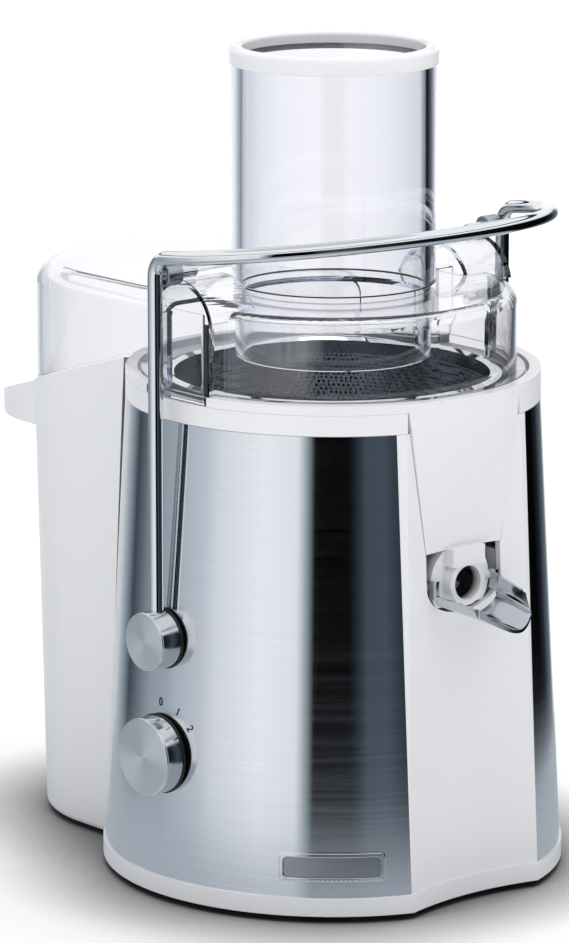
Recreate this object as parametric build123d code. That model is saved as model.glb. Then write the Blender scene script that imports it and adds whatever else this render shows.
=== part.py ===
"""Centrifugal juicer: an assembly of separate pieces, one STEP file per piece.

Frame: millimetres, +Z up, origin on the motor axis at the level of the feet.
+X is the spout side, -X the pulp bin, -Y the user's side with the speed dial.
"""
from build123d import *
import math
import os

os.makedirs("parts", exist_ok=True)

# ---- driving dimensions -------------------------------------------------
FOOT_H = 3.0                 # rubber feet below the base tray
RING_R = 103.2               # white base ring
RING_H = 8.3
WRAP_R_LOW = 102.3           # steel wrap, outside, at its lower edge
WRAP_R_TOP = 92.0            # steel wrap, outside, at its upper edge
WRAP_H = 201.2
SHEET = 0.8                  # thickness of the steel sheet
WALL = 2.5                   # moulded wall thickness
COLLAR_H = 9.2               # white rim collar above the steel
FLANGE_H = 4.0               # flange of the juice collector above the collar
PANEL_HALF = 37.3            # half width of the spout-side panel
PANEL_HOLLOW_R = 136.0       # plan radius of the panel's hollow face
PANEL_X_LOW = 90.6           # panel face on the centre line, at its foot
PANEL_X_TOP = 82.0           # and at the collar
APRON_TOP_HALF = 32.0        # collector apron, half width at the rim
APRON_LOW_HALF = 21.6        # and at its lower edge
APRON_Z = 158.0
SPOUT_X = 83.0               # spout ball and trough pivot
SPOUT_Z = 143.0
SPOUT_BALL_R = 17.0
SPOUT_BORE_R = 7.5
NOZZLE_R = 10.0
NOZZLE_X = 89.0              # front of the spout nozzle
WELL_DEPTH = 13.5            # the panel's well below the spout centre
TROUGH_ROOT_X = 87.2         # the scoop starts clear of the panel
TROUGH_TIP_X = 122.0
TROUGH_ROLL = 10.0           # the scoop leans towards the user
CHUTE_R = 40.2               # feed chute bore
TUBE_R = 45.0
TUBE_Z = 264.0
TOP_Z = 368.0
LID_R = 81.0
LID_Z = 261.0                # top of the lid's flat
LID_WALL = 2.4
LOBE_HALF = 19.0
LOBE_Y = 88.0
HUMP_Z = 274.0
BIN_X = -111.0               # centre of the bin's round end
BIN_R = 65.0
BIN_R_LOW = 61.5
BIN_Z = 2.0
BIN_RIM_Z = 225.5            # rim height where the bin meets the body
BIN_RIM_X = -72.0
BIN_RIM_SLOPE = 0.298
HANDLE_X = -165.0            # centre of the bin's lip handle
HANDLE_LONG = 50.0           # half length and half width of the handle's oval
HANDLE_HALF = 43.0
HANDLE_LOW_Z = 178.0         # lower edge of its skirt
COVER_R = 63.0
COVER_Z = 258.0
ARM_Y = 101.0
ARM_WIRE_R = 3.25
PIVOT_Z = 119.0
ARM_CORNER_Z = 286.0
ARM_BEND_R = 9.0
LOOP_X = 84.0
LOOP_TILT = 7.0
KNOB_R = 12.5
DIAL_Z = 68.0
DIAL_R = 16.5
PIN_Z = 277.1                # latch pins, just above the lid's humps
BADGE_TURN = -41.0           # badge direction in plan, from +X
BADGE_Z = 25.0
GLAND_TURN = 115.0           # mains inlet direction in plan, from +X
GLAND_Z = 26.0
DECK_Z = 148.0               # deck that carries the motor
GAP = 0.3                    # clearance between pieces that move past each other

Z_TRAY = FOOT_H
Z_WRAP = FOOT_H + RING_H
Z_COLLAR = Z_WRAP + WRAP_H
Z_FLANGE = Z_COLLAR + COLLAR_H
Z_RIM = Z_FLANGE + FLANGE_H


# ---- small helpers ------------------------------------------------------
def body_radius(z):
    """Outer radius of the tapered body at height z."""
    return WRAP_R_LOW + (WRAP_R_TOP - WRAP_R_LOW) * (z - Z_WRAP) / WRAP_H


def turned(*points):
    """Solid of revolution about Z from (radius, height) corners."""
    return revolve(Plane.XZ * make_face(Polyline(*points, close=True)), Axis.Z)


def ring(outer, inner, low, high):
    """Plain ring or, with no inner radius, a disc, between two heights."""
    if inner <= 0:
        return Pos(0, 0, (low + high) / 2) * Cylinder(outer, high - low)
    return turned((inner, low), (outer, low), (outer, high), (inner, high))


def block(x0, x1, y0, y1, z0, z1):
    """Box between two corners."""
    centre = Pos((x0 + x1) / 2, (y0 + y1) / 2, (z0 + z1) / 2)
    return centre * Box(x1 - x0, y1 - y0, z1 - z0)


def rod_y(radius, y0, y1, x=0.0, z=0.0):
    """Round bar along Y."""
    return Pos(x, (y0 + y1) / 2, z) * Rot(90, 0, 0) * Cylinder(radius, abs(y1 - y0))


def rod_x(radius, x0, x1, y=0.0, z=0.0):
    """Round bar along X."""
    return Pos((x0 + x1) / 2, y, z) * Rot(0, 90, 0) * Cylinder(radius, abs(x1 - x0))


def both_sides(piece):
    """The piece and its mirror image across the XZ plane."""
    return [piece, mirror(piece, Plane.XZ)]


def around(piece, count, start=0.0):
    """Copies of a piece spaced evenly round the Z axis."""
    return [Rot(0, 0, start + 360.0 * i / count) * piece for i in range(count)]


def cut_all(base, tools):
    """Subtract every tool from the base."""
    for tool in tools:
        base = base - tool
    return base


def fuse_all(pieces):
    """Union of a list of solids."""
    whole = pieces[0]
    for piece in pieces[1:]:
        whole = whole + piece
    return whole


def save(node, *shapes):
    """Write one node; several shapes become separate solids of one file."""
    solids = [s for shape in shapes for s in shape.solids()]
    export_step(solids[0] if len(solids) == 1 else Compound(children=solids), f"parts/{node}.step")


def hollow_cutter(offset=0.0):
    """Leaning cylinder that scoops the panel's hollow face.

    A positive offset moves the scooped surface inward, towards the motor axis.
    """
    lean = (PANEL_X_LOW - PANEL_X_TOP) / (Z_COLLAR - Z_TRAY)
    foot = Pos(PANEL_X_LOW + PANEL_HOLLOW_R + lean * Z_TRAY, 0, 0)
    return foot * Rot(0, -math.degrees(math.atan(lean)), 0) * Cylinder(PANEL_HOLLOW_R + offset, 520)


def body_form(offset, low, high):
    """The tapered body with its hollow panel face, shrunk by an offset."""
    cone = turned((0, low), (body_radius(low) - offset, low), (body_radius(high) - offset, high), (0, high))
    return cone - hollow_cutter(offset)


def apron_prism(grow=0.0):
    """Trapezoid prism along X that bounds the collector apron."""
    low, top = APRON_Z - grow, Z_FLANGE + grow
    corners = [(-APRON_LOW_HALF - grow, low), (APRON_LOW_HALF + grow, low),
               (APRON_TOP_HALF + grow, top), (-APRON_TOP_HALF - grow, top)]
    return extrude(Plane.YZ * make_face(Polyline(*corners, close=True)), 130)


def spout_well(grow=0.0):
    """Clear space in the panel for the spout: a slot with a round bottom."""
    half = APRON_LOW_HALF + grow
    bottom = extrude(Plane.YZ.offset(60) * Pos(0, SPOUT_Z) * Ellipse(half, WELL_DEPTH + grow), 60)
    return bottom + block(60, 120, -half, half, SPOUT_Z, APRON_Z + 1)


# ---- housing ------------------------------------------------------------
def foot_places():
    """Centres of the four rubber feet and of the pad under the motor."""
    return [(0, 0)] + [(78 * math.cos(math.radians(a)), 78 * math.sin(math.radians(a))) for a in (45, 135, 225, 315)]


def base_tray():
    floor_z = Z_TRAY + 3.0
    form = ring(RING_R, 0, Z_TRAY, Z_WRAP) - Pos(0.9, 0, 0) * hollow_cutter()
    inner = ring(RING_R - 4, 0, floor_z, Z_WRAP + 1) - Pos(0.9, 0, 0) * hollow_cutter(4)
    tray = form - inner
    slots = [block(x - 2, x + 2, -22, 22, 0, floor_z + 1) for x in range(-40, 41, 10) if x]
    stems = [Pos(x, y, Z_TRAY) * Cylinder(3.05, 20) for x, y in foot_places()]
    screws = [Pos(x, y, Z_TRAY) * Cylinder(2.1, 20) for x, y in screw_places()]
    save("base_tray", cut_all(tray, slots + stems + screws))


def rubber_feet():
    feet = []
    for x, y in foot_places():
        radius = 9.0 if x else 7.0
        pad = fillet((Pos(x, y, FOOT_H / 2) * Cylinder(radius, FOOT_H)).edges().group_by(Axis.Z)[0], 1.0)
        feet.append(pad + Pos(x, y, FOOT_H + 2.5) * Cylinder(3.0, 5.0))
    save("rubber_feet", *feet)


def screw_places():
    """Centres of the four screws that hold the tray to the housing."""
    return [(94.2 * math.cos(math.radians(a)), 94.2 * math.sin(math.radians(a))) for a in (75, 98, 262, 285)]


def tray_screws():
    screws = []
    for x, y in screw_places():
        head = Pos(x, y, Z_TRAY + 4.0) * Cylinder(3.8, 2.0)
        screws.append(head + Pos(x, y, Z_TRAY + 7.5) * Cylinder(2.0, 13.0))
    save("tray_screws", *screws)


def motor_housing():
    skin = SHEET + 0.1
    outer = body_form(skin, Z_WRAP, Z_COLLAR)
    inner = body_form(skin + WALL, Z_WRAP - 1, Z_COLLAR + 1)
    shell = outer - inner - block(60, 120, -PANEL_HALF, PANEL_HALF, 0, 300)
    deck = body_form(skin + WALL - 0.2, DECK_Z, DECK_Z + 3) - Cylinder(14.05, 400)
    well = block(60, 81, -25, 25, 117, 153) - block(62.5, 90, -23, 23, 119.5, 154)
    deck = deck - block(60, 120, -25, 25, 0, 300)
    bosses = [Pos(x, y, Z_WRAP + 7) * Cylinder(5, 14) for x, y in screw_places()]
    pilots = [Pos(x, y, Z_WRAP + 6) * Cylinder(2.0, 16) for x, y in screw_places()]
    body = fuse_all([shell, deck, well & body_form(skin + WALL, 0, 300)] + bosses)
    holes = pilots + [rod_y(8.05, 60, 120, 0, PIVOT_Z), rod_y(8.05, -120, -60, 0, PIVOT_Z)]
    holes += [rod_y(5.2, -120, -60, 0, DIAL_Z), Rot(0, 0, GLAND_TURN) * rod_x(6.05, 60, 120, 0, GLAND_Z)]
    holes += [Pos(x, y, DECK_Z) * Cylinder(2.6, 20) for x, y in mount_places()]
    save("motor_housing", cut_all(body, holes))


def steel_wrap():
    wrap = body_form(0, Z_WRAP, Z_COLLAR) - body_form(SHEET, Z_WRAP - 1, Z_COLLAR + 1)
    wrap = wrap - block(40, 120, -PANEL_HALF, PANEL_HALF, 0, 300)
    holes = [rod_y(8.3, 60, 120, 0, PIVOT_Z), rod_y(8.3, -120, -60, 0, PIVOT_Z)]
    holes += [rod_y(5.4, -120, -60, 0, DIAL_Z), Rot(0, 0, GLAND_TURN) * rod_x(6.3, 60, 120, 0, GLAND_Z)]
    save("steel_wrap", cut_all(wrap, holes))


def rim_collar():
    band = turned((83.5, Z_COLLAR), (WRAP_R_TOP, Z_COLLAR), (WRAP_R_TOP - 0.1, Z_FLANGE), (83.5, Z_FLANGE))
    half = APRON_TOP_HALF + 0.3
    save("rim_collar", band - block(60, 120, -half, half, 0, 300))


def front_panel():
    half = PANEL_HALF - 0.1
    slab = body_form(0, Z_WRAP, Z_COLLAR) - body_form(WALL + 0.5, Z_WRAP - 1, Z_COLLAR + 1)
    slab = slab & block(60, 120, -half, half, 0, 300)
    save("front_panel", slab - apron_prism(0.3) - spout_well())


def apron():
    """Apron: a hollow lower edge that swells to the round rim above."""
    low_x = PANEL_X_LOW - (PANEL_X_LOW - PANEL_X_TOP) * (APRON_Z - Z_TRAY) / (Z_COLLAR - Z_TRAY)
    side_x = low_x + APRON_LOW_HALF ** 2 / (2 * PANEL_HOLLOW_R)
    top_z = Z_COLLAR + 0.5
    top_x = math.sqrt(WRAP_R_TOP ** 2 - APRON_TOP_HALF ** 2)

    def outline(z, half, edge_x, mid_x, back_x):
        arc = ThreePointArc((edge_x, -half, z), (mid_x, 0, z), (edge_x, half, z))
        back = Polyline((edge_x, half, z), (back_x, half, z), (back_x, -half, z), (edge_x, -half, z))
        return make_face([arc, back])

    top_half = APRON_TOP_HALF - (APRON_TOP_HALF - APRON_LOW_HALF) * (Z_FLANGE - top_z) / (Z_FLANGE - APRON_Z)
    edge_top = math.sqrt(WRAP_R_TOP ** 2 - top_half ** 2)
    low = outline(APRON_Z, APRON_LOW_HALF, side_x, low_x, 81.3)
    high = outline(top_z, top_half, edge_top, WRAP_R_TOP - 0.1, 81.3)
    sheet = loft([low, high], ruled=True)
    band = turned((81.5, top_z), (WRAP_R_TOP - 0.1, top_z), (WRAP_R_TOP - 0.1, Z_FLANGE), (81.5, Z_FLANGE))
    band = (band & apron_prism()) & block(60, 120, -40, 40, 0, 300)
    return sheet + band


def juice_collector():
    floor_z = 156.0
    bowl = turned((25.5, floor_z - 0.5), (79.5, floor_z - 0.5), (81.5, Z_FLANGE - 3), (83.2, Z_FLANGE),
                  (WRAP_R_TOP - 0.1, Z_FLANGE), (WRAP_R_TOP - 0.1, Z_RIM), (86.6, Z_RIM),
                  (85.6, Z_FLANGE + 0.8), (78.8, Z_FLANGE - 0.4), (77, floor_z + 2), (28, floor_z + 2),
                  (28, floor_z + 10), (25.5, floor_z + 10))
    breaks = both_sides(block(-20.3, 20.3, 78.4, 100, Z_FLANGE, 300))
    ball = Pos(SPOUT_X, 0, SPOUT_Z) * Sphere(SPOUT_BALL_R) & block(70, SPOUT_X + 0.6, -30, 30, SPOUT_Z - 10.5, APRON_Z + 0.5)
    mouth = rod_x(NOZZLE_R, SPOUT_X, NOZZLE_X, 0, SPOUT_Z)
    tab = block(65, NOZZLE_X + 0.8, -9.2, 9.2, SPOUT_Z + SPOUT_BORE_R + 0.3, APRON_Z + 1)
    solid = fuse_all([cut_all(bowl, breaks), apron(), ball, mouth, tab])
    drop = block(67.5, 76.5, -7, 7, SPOUT_Z - 6, floor_z + 6)
    bore = rod_x(SPOUT_BORE_R, 72, 100, 0, SPOUT_Z)
    stubs = both_sides(rod_y(1.95, 14, 18.8, SPOUT_X, SPOUT_Z))
    save("juice_collector", fuse_all([solid - drop - bore] + stubs))


def badge_shell(low_offset, high_offset, width, height):
    """Rounded plate that hugs the steel, facing the badge direction."""
    low, high = BADGE_Z - 20, BADGE_Z + 20
    rim_low, rim_high = body_radius(low), body_radius(high)
    shell = turned((rim_low + low_offset, low), (rim_low + high_offset, low),
                   (rim_high + high_offset, high), (rim_high + low_offset, high))
    window = Pos(100, 0, BADGE_Z) * Rot(0, 90, 0) * Box(height, width, 60)
    window = fillet(window.edges().filter_by(Axis.X), 2.0)
    return shell & (Rot(0, 0, BADGE_TURN) * window)


def badge():
    save("badge_frame", badge_shell(0.05, 1.8, 46, 12.4) - badge_shell(-1, 3, 42.6, 9.0))
    save("badge_plate", badge_shell(0.05, 1.0, 42.5, 8.9))


def motor_static():
    """Motor parts that stay still, hung from the deck by rubber mounts."""
    save("motor_stator", ring(42, 27, 50, 95) - block(-50, 50, 30, 50, 0, 200) - block(-50, 50, -50, -30, 0, 200))
    save("field_coils", ring(38, 28, 42, 49.8), ring(38, 28, 95.2, 103))
    post = [Pos(x, y, 84) * Cylinder(3, 200) for x, y in ((36, 31), (-36, 31), (36, -31), (-36, -31))]
    lower = cut_all(block(-42, 42, -36, 36, 18, 23), [Cylinder(11.02, 100)] + post)
    lower = lower - block(-30, 30, 20, 34, 0, 60) - block(-30, 30, -34, -20, 0, 60)
    save("lower_bracket", lower)
    bolts = [Pos(x, y, 74.5) * Cylinder(2.98, 113) for x, y in ((36, 31), (-36, 31), (36, -31), (-36, -31))]
    save("through_bolts", *bolts)
    plate = block(-46, 46, -46, 46, 126, 131)
    plate = fillet(plate.edges().filter_by(Axis.Z), 8) - Pos(0, 0, 128) * Cylinder(11.02, 40)
    plate = cut_all(plate, post + [Pos(x, y, 128) * Cylinder(2.1, 30) for x, y in mount_places()])
    save("upper_bracket", plate)
    save("lower_bearing", ring(11, 4.03, 18, 25))
    save("upper_bearing", ring(11, 4.03, 125, 132))
    holders, brushes = [], []
    for side in (1, -1):
        box = block(14.5, 34, -4.5, 4.5, 29, 39) - block(10, 31, -3.05, 3.05, 30.5, 37.5)
        holders.append(Rot(0, 0, 0 if side > 0 else 180) * box)
        brushes.append(Rot(0, 0, 0 if side > 0 else 180) * block(13.1, 28, -3, 3, 30.6, 37.4))
    save("brush_holders", *holders)
    save("carbon_brushes", *brushes)
    save("shaft_seal", turned((4.3, DECK_Z), (14, DECK_Z), (14, DECK_Z + 5), (6, DECK_Z + 5), (4.3, DECK_Z + 2)))


def mount_places():
    """Centres of the four rubber mounts between deck and motor bracket."""
    return [(x, y) for x in (-38, 38) for y in (-38, 38)]


def rubber_mounts():
    mounts = [Pos(x, y, 139.5) * (Cylinder(7, 16.8) - Cylinder(2.1, 40)) for x, y in mount_places()]
    save("rubber_mounts", *mounts)
    screws = []
    for x, y in mount_places():
        screws.append(Pos(x, y, 142) * Cylinder(2.0, 26) + Pos(x, y, 153.6) * Cylinder(3.8, 2.4))
    save("mount_screws", *screws)


def electrics():
    """Switch behind the dial, safety switch, control board and mains inlet gland."""
    switch = block(-13, 13, -88, -68, DIAL_Z - 13, DIAL_Z + 13) - rod_y(3.05, -90, -72, 0, DIAL_Z)
    save("rotary_switch", fillet(switch.edges().filter_by(Axis.Y), 1.5))
    save("safety_switch", block(-6, 8, 62, 72, PIVOT_Z - 20, PIVOT_Z - 8.4))
    board = block(-78, -75.4, -30, 30, 60, 110)
    parts = [block(-75.4, -65, -20, -6, 70, 90), Pos(-70, 12, 85) * Rot(0, 90, 0) * Cylinder(6, 10.8)]
    save("control_board", fuse_all([board] + parts))
    gland = rod_x(6, 86, 104, 0, GLAND_Z) + rod_x(8, 102.1, 105, 0, GLAND_Z) - rod_x(3.6, 80, 120, 0, GLAND_Z)
    save("cord_gland", Rot(0, 0, GLAND_TURN) * gland)
    save("terminal_block", block(-84, -66, -9, 9, 12, 19))


def pivot_bushes():
    bush = rod_y(8, 84, 96.1, 0, PIVOT_Z) + rod_y(10, 81.5, 84, 0, PIVOT_Z) - rod_y(5.05, 70, 110, 0, PIVOT_Z)
    save("pivot_bushes", *both_sides(bush))


# ---- rotor --------------------------------------------------------------
def rotor():
    """Everything that spins: armature, fan, coupling, basket and cutting disc."""
    shaft = ring(3.98, 0, 14, 160)
    save("motor_shaft", shaft)
    slots = [Pos(26, 0, 72) * Box(5, 2.4, 60)]
    core = ring(26, 4, 50, 95)
    for slot in slots:
        core = cut_all(core, around(slot, 12))
    save("armature_core", core)
    save("armature_windings", ring(22, 4, 41.5, 50), ring(22, 4, 95, 103.5))
    bars = around(Pos(13, 0, 34) * Box(1.2, 0.8, 14), 24)
    save("commutator", cut_all(ring(13, 4, 27, 41), bars))
    hub = ring(9, 4, 106, 120)
    disc = ring(38, 8, 106, 107.5)
    blades = around(Pos(24, 0, 112.5) * Rot(0, 0, 20) * Box(24, 1.4, 12), 12)
    save("cooling_fan", fuse_all([hub, disc] + blades))
    boss = ring(10, 3.98, 156.5, 168.5) - ring(5, 0, 160, 170)
    teeth = around(Pos(9.2, 0, 162.5) * Box(4, 4, 12), 6)
    save("drive_coupling", fuse_all([boss] + teeth) - ring(3.98, 0, 100, 160))
    sieve = turned((50.5, 173), (70.2, 219), (71.0, 219), (51.4, 173))
    save("filter_basket", sieve)
    save("basket_base", sieve_base() - sieve)
    rim = turned((69.4, 217), (72.4, 217), (72.4, 222.6), (74.6, 222.6), (74.6, 223.4), (71.6, 224.2), (69.4, 223))
    save("basket_rim", rim - sieve)
    teeth = []
    for row, (radius, count) in enumerate(((14, 10), (23, 16), (32, 22), (41, 28))):
        tooth = Pos(radius, 0, 173.4) * Rot(0, 0, 25) * Cone(1.5, 0.3, 2.0)
        teeth += around(tooth, count, row * 7.0)
    save("grating_disc", fuse_all([ring(46, 6, 171, 172.5)] + teeth))
    save("disc_nut", ring(9, 0, 172.6, 176) + ring(5.9, 0, 169.6, 172.6))


def sieve_base():
    """Moulded base of the basket with the socket that drops on the coupling."""
    plate = turned((10, 169.5), (49.8, 169.5), (52, 174.5), (50.4, 174.5), (49.9, 173), (46.3, 171), (6, 171),
                   (6, 169.5))
    socket = ring(20, 14.5, 159.5, 169.5)
    tops = ring(20, 6, 168.8, 169.6)
    splines = around(Pos(13.2, 0, 164) * Box(3.2, 3, 9), 6, 30.0)
    return fuse_all([plate, socket, tops] + splines)


# ---- clamp arm ----------------------------------------------------------
def arm_wire():
    """Bail bent from one bar: two uprights, two bends and a half-ellipse loop."""
    tilt = math.radians(LOOP_TILT)
    bend_dx = ARM_BEND_R * (1 - math.sin(tilt))
    bend_dz = ARM_BEND_R * math.cos(tilt)
    z_bend = ARM_CORNER_Z - bend_dz
    reach = (LOOP_X - bend_dx) / math.cos(tilt)
    mid = math.radians(135 + LOOP_TILT / 2)
    knee = (ARM_BEND_R + ARM_BEND_R * math.cos(mid), z_bend + ARM_BEND_R * math.sin(mid))

    def side(sign):
        start = (0, sign * ARM_Y, PIVOT_Z)
        turn = (0, sign * ARM_Y, z_bend)
        end = (bend_dx, sign * ARM_Y, ARM_CORNER_Z)
        return Line(start, turn), ThreePointArc(turn, (knee[0], sign * ARM_Y, knee[1]), end)

    loop_plane = Plane(origin=(bend_dx, 0, ARM_CORNER_Z), x_dir=(math.cos(tilt), 0, math.sin(tilt)),
                       z_dir=(-math.sin(tilt), 0, math.cos(tilt)))
    loop = loop_plane * EllipticalCenterArc((0, 0), reach, ARM_Y, start_angle=-90, arc_size=180)
    near_line, near_bend = side(-1)
    far_line, far_bend = side(1)
    path = Wire([near_line.edge(), near_bend.edge(), loop.edge(), far_bend.edge(), far_line.edge()])
    section = Pos(0, -ARM_Y, PIVOT_Z) * Circle(ARM_WIRE_R)
    return sweep(section, path=path)


def pivot_knobs():
    """Knobs that grip the uprights, with their pivot shafts and clips."""
    face, root = 109.4, 98.7
    socket = Pos(0, ARM_Y, PIVOT_Z + 30) * Cylinder(ARM_WIRE_R + 0.02, 60)
    knob = rod_y(KNOB_R, root, face, 0, PIVOT_Z)
    knob = fillet(knob.edges().group_by(Axis.Y)[-1], 0.8) - socket
    washer = rod_y(KNOB_R + 0.8, 97.8, root, 0, PIVOT_Z) - socket
    shaft = rod_y(5.0, 74, 97.7, 0, PIVOT_Z) - rod_y(7, 77, 78.2, 0, PIVOT_Z) + rod_y(4.0, 76, 79, 0, PIVOT_Z)
    near = [mirror(piece, Plane.XZ) for piece in (knob, washer, shaft)]
    save("pivot_knob_near", near[0])
    save("pivot_knob_far", knob)
    save("pivot_washers", near[1], washer)
    save("pivot_shafts", near[2], shaft)
    clip = rod_y(7.5, 77.05, 78.15, 0, PIVOT_Z) - rod_y(4.02, 70, 90, 0, PIVOT_Z)
    save("pivot_clips", *both_sides(clip - block(-3.4, 3.4, 60, 100, PIVOT_Z, PIVOT_Z + 20)))
    cam = (rod_y(8.0, 79.0, 81.3, 0, PIVOT_Z) & block(-3, 9, 60, 90, PIVOT_Z - 9, PIVOT_Z + 9))
    save("interlock_cam", cam - rod_y(5.0, 70, 90, 0, PIVOT_Z))


def latch_pins(wire):
    """Stub pins on the uprights that press on the lid's humps, with their sleeves."""
    pin = rod_y(2.5, 79, 99, 0, PIN_Z) - wire
    save("latch_pins", *both_sides(pin))
    sleeve = fillet(rod_y(5.0, 88.8, 97.2, 0, PIN_Z).edges(), 0.5) - rod_y(2.52, 70, 110, 0, PIN_Z)
    save("latch_sleeves", *both_sides(sleeve))


# ---- lid ----------------------------------------------------------------
def u_plan(radius, near_x, z, far_shift=0.0):
    """Face with a round outer end and straight sides running towards +X."""
    cx = BIN_X + far_shift
    arc = ThreePointArc((cx, radius, z), (cx - radius, 0, z), (cx, -radius, z))
    sides = Polyline((cx, -radius, z), (near_x, -radius, z), (near_x, radius, z), (cx, radius, z))
    return make_face([arc, sides])


def below_rim(shift):
    """Everything below the bin's sloping rim plane, raised by a shift."""
    far_x, near_x = -260.0, 60.0
    z_far = BIN_RIM_Z + (far_x - BIN_RIM_X) * BIN_RIM_SLOPE + shift
    z_near = BIN_RIM_Z + (near_x - BIN_RIM_X) * BIN_RIM_SLOPE + shift
    side = make_face(Polyline((far_x, -60), (near_x, -60), (near_x, z_near), (far_x, z_far), close=True))
    return extrude(Plane.XZ.offset(-150) * side, 300)


def cover_solid(inset):
    """Duct cover over the pulp bin, before hollowing; inset shrinks it."""
    z_top = COVER_Z - inset
    shell = extrude(u_plan(COVER_R - inset, -30, 150), z_top - 150)
    edges = [e for e in shell.edges() if e.center().Z > z_top - 0.1 and e.center().X < -40]
    return fillet(edges, 10.0 - inset)


def hump(radius, y_in, y_out):
    """Half-round arch on a lobe for the latch pin to ride over."""
    drop = HUMP_Z - radius
    lift = math.sqrt(max(radius ** 2 - (drop - LID_Z) ** 2, 1.0))
    arch = rod_y(radius, y_in, y_out, 0, drop)
    return arch & block(-lift - 5, lift + 5, y_in, y_out, LID_Z - 4, 300)


def lid_shell():
    wall = fillet(ring(LID_R, 0, Z_FLANGE + 1.5, LID_Z).edges().group_by(Axis.Z)[-1], 6.0)
    hollow = fillet(ring(LID_R - LID_WALL, 0, 200, LID_Z - LID_WALL).edges().group_by(Axis.Z)[-1], 4.0)
    skirt = ring(84.8, 70, Z_FLANGE + 1.1, Z_FLANGE + 3.6)
    lobe = block(-LOBE_HALF, LOBE_HALF, 40, LOBE_Y, Z_FLANGE + 0.5, LID_Z)
    lobe = fillet(lobe.edges().filter_by(Axis.Z).group_by(Axis.Y)[-1], 4.0)
    lobe_in = block(-LOBE_HALF + LID_WALL, LOBE_HALF - LID_WALL, 38, LOBE_Y - LID_WALL, 200, LID_Z - LID_WALL)
    foot = block(-LOBE_HALF - 1, LOBE_HALF + 1, 78, LOBE_Y + 1.5, Z_FLANGE + 0.5, Z_FLANGE + 3.8)
    arch_r = 21.3
    arch = hump(arch_r, 62, LOBE_Y - 0.5)
    arch_in = rod_y(arch_r - LID_WALL, 60, LOBE_Y - LID_WALL, 0, HUMP_Z - arch_r)
    arch_in = arch_in & block(-30, 30, 60, 100, LID_Z - LID_WALL - 2, 300)
    cover = cover_solid(0) - below_rim(0.8) - ring(93.3, 0, 100, Z_RIM + 0.5)
    outer = fuse_all([wall, skirt, cover] + both_sides(lobe) + both_sides(foot) + both_sides(arch))
    inner = fuse_all([hollow, cover_solid(2.2)] + both_sides(lobe_in) + both_sides(arch_in))
    shell = outer - inner - ring(LID_R - LID_WALL, 0, 200, Z_FLANGE + 8)
    shell = shell - ring(43, 0, 200, 300)
    shell = shell + ring(43, CHUTE_R, 231, TUBE_Z)
    save("lid_shell", max_solid(shell))


def max_solid(shape):
    """Largest solid of a shape; drops slivers left by the cuts."""
    return max(shape.solids(), key=lambda s: s.volume)


def feed_tube():
    save("feed_tube", ring(TUBE_R, CHUTE_R, TUBE_Z + 0.02, TOP_Z - 5))
    cap = ring(TUBE_R + 1.2, CHUTE_R, TOP_Z - 8, TOP_Z)
    cap = fillet(cap.edges().group_by(Axis.Z)[-1], 1.6)
    save("tube_ring", cap - ring(TUBE_R + 0.05, CHUTE_R - 1, TOP_Z - 9, TOP_Z - 4.98))


# ---- pulp bin, dial, trough ----------------------------------------------
def pulp_bin():
    top_z = 240.0
    outer = loft([u_plan(BIN_R_LOW, -40, BIN_Z, 2.0), u_plan(BIN_R + 0.2, -40, top_z)], ruled=True)
    inner = loft([u_plan(BIN_R_LOW - WALL, -40, BIN_Z + 3, 2.0), u_plan(BIN_R - WALL + 0.2, -40, top_z + 3)],
                 ruled=True)
    low_edges = [e for e in outer.edges() if e.center().Z < BIN_Z + 0.1 and e.center().X < -45]
    outer = fillet(low_edges, 3.0)

    def body_clearance(gap):
        return turned((0, -20), (body_radius(-20) + gap, -20), (body_radius(260) + gap, 260), (0, 260))

    shell = (outer - body_clearance(2.0)) - (inner - body_clearance(2.0 + WALL))
    shell = shell & below_rim(0)
    plan = Pos(HANDLE_X, 0, HANDLE_LOW_Z)
    grip = extrude(plan * Ellipse(HANDLE_LONG, HANDLE_HALF), 50) & below_rim(0)
    hollow = extrude(plan * Ellipse(HANDLE_LONG - WALL, HANDLE_HALF - WALL), 50) & below_rim(-WALL)
    grip = grip - hollow
    hook = grip - outer
    save("pulp_bin", max_solid(shell + hook))


def dial():
    root, face = 100.9, 113.8
    barrel = rod_y(DIAL_R, -face + 1.2, -root - 0.9, 0, DIAL_Z)
    skirt = rod_y(DIAL_R + 0.7, -root - 0.9, -root, 0, DIAL_Z)
    save("dial_knob", barrel)
    save("dial_skirt", skirt)
    cap = rod_y(DIAL_R - 0.2, -face, -face + 1.2, 0, DIAL_Z)
    save("dial_face", fillet(cap.edges().group_by(Axis.Y)[0], 0.5))
    save("dial_stem", rod_y(3.0, -root, -74, 0, DIAL_Z))


def scoop_section(x, half, depth, rim_z, wall):
    """Lower half of an oval, or with a wall the space inside it, open at the top."""
    y, low, up = half - wall, depth - wall, (3.0 if wall else 0.0)
    arc = [(y * math.cos(a), rim_z + low * math.sin(a)) for a in (math.pi, 1.25 * math.pi, 1.5 * math.pi,
                                                                 1.75 * math.pi, 2 * math.pi)]
    curve = Spline(*[(x, *p) for p in arc], tangents=[(0, 0, -1), (0, 0, 1)])
    top = Polyline((x, y, rim_z), (x, y, rim_z + up + 0.01), (x, -y, rim_z + up + 0.01), (x, -y, rim_z))
    return make_face([curve, top])


def scoop(wall):
    """Loft from the wide root of the trough to its narrow tip."""
    over = 2.0 if wall else 0.0
    root = scoop_section(TROUGH_ROOT_X - over, 17.6, 10.0, 142.5, wall)
    tip = scoop_section(TROUGH_TIP_X + over, 12.0, 10.5, 137.5, wall)
    return loft([root, tip], ruled=True)


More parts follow.
